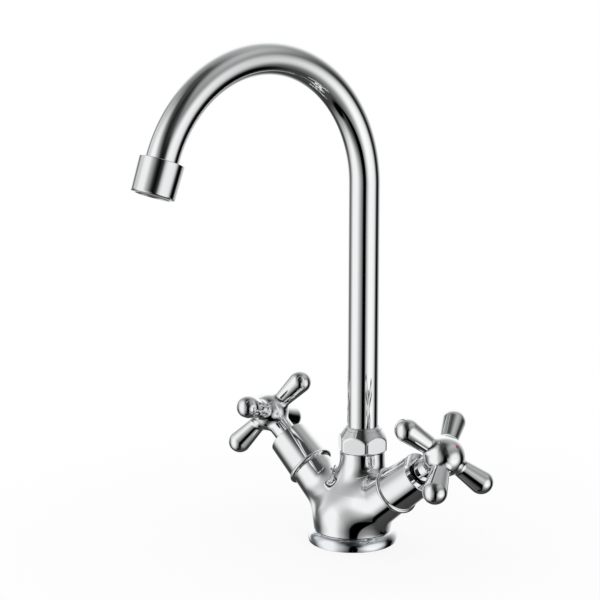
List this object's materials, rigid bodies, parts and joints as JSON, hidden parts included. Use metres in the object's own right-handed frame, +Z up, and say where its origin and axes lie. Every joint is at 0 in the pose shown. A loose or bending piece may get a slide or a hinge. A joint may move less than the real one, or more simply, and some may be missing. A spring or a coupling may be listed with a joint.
{
  "type": "two handle kitchen faucet",
  "caption": "Chromed deck-mounted kitchen mixer with a high arc swivel spout, angled cross handles and a round base ring.",
  "frame": {"origin": "centre of the base ring on the worktop", "axes": "+Z up, -Y towards the user and the spout's outlet, +X towards the hot handle"},
  "size_m": [0.1982, 0.2022, 0.3214],
  "materials": {
    "chrome_body": "polished chromium plate on cast brass",
    "chrome_trim": "polished chromium plate on turned brass",
    "chrome_tube": "polished chromium plate on drawn brass tube",
    "chrome_handle": "polished chromium plate on die casting",
    "raw_brass": "turned, unplated",
    "stainless": "bright",
    "black_rubber": "matt",
    "fibre": "pressed fibre",
    "white_plastic": "moulded acetal",
    "valve_ceramic": "lapped alumina",
    "red_enamel": "gloss",
    "blue_enamel": "gloss"
  },
  "bodies": {
    "faucet_body": {"body_casting": "chrome_body", "base_ring": "chrome_trim", "base_gasket": "black_rubber", "spout_nut": "chrome_trim", "nut_slip_washer": "white_plastic", "hot_valve_bonnet": "raw_brass", "hot_bonnet_gasket": "fibre", "hot_fixed_disc": "valve_ceramic", "hot_seat_seal": "black_rubber", "hot_valve_sleeve": "chrome_trim", "cold_valve_bonnet": "raw_brass", "cold_bonnet_gasket": "fibre", "cold_fixed_disc": "valve_ceramic", "cold_seat_seal": "black_rubber", "cold_valve_sleeve": "chrome_trim"},
    "spout": {"spout_tube": "chrome_tube", "swivel_bush": "raw_brass", "spout_split_ring": "white_plastic", "outlet_bush": "raw_brass", "aerator_washer": "black_rubber", "aerator_insert": "white_plastic", "aerator_screen": "white_plastic", "aerator_housing": "chrome_trim", "spout_orings": "black_rubber"},
    "hot_handle": {"hot_spindle": "raw_brass", "hot_spindle_orings": "black_rubber", "hot_spindle_circlip": "stainless", "hot_turning_disc": "valve_ceramic", "hot_cross_handle": "chrome_handle", "hot_handle_screw": "stainless", "hot_index_cap": "chrome_handle", "hot_index_dot": "red_enamel"},
    "cold_handle": {"cold_spindle": "raw_brass", "cold_spindle_orings": "black_rubber", "cold_spindle_circlip": "stainless", "cold_turning_disc": "valve_ceramic", "cold_cross_handle": "chrome_handle", "cold_handle_screw": "stainless", "cold_index_cap": "chrome_handle", "cold_index_dot": "blue_enamel"}
  },
  "joints": [
    {"name": "spout_swivel", "type": "hinge", "parent": "faucet_body", "child": "spout", "pos_m": [0, 0.0091, 0.06], "axis": [0, 0, 1], "continuous": true},
    {"name": "hot_handle_turn", "type": "hinge", "parent": "faucet_body", "child": "hot_handle", "pos_m": [0.07656, 0, 0.07085], "axis": [0.7934, 0, 0.6088], "range_deg": [0, 90]},
    {"name": "cold_handle_turn", "type": "hinge", "parent": "faucet_body", "child": "cold_handle", "pos_m": [-0.07656, 0, 0.07085], "axis": [-0.7934, 0, 0.6088], "range_deg": [-90, 0]}
  ]
}
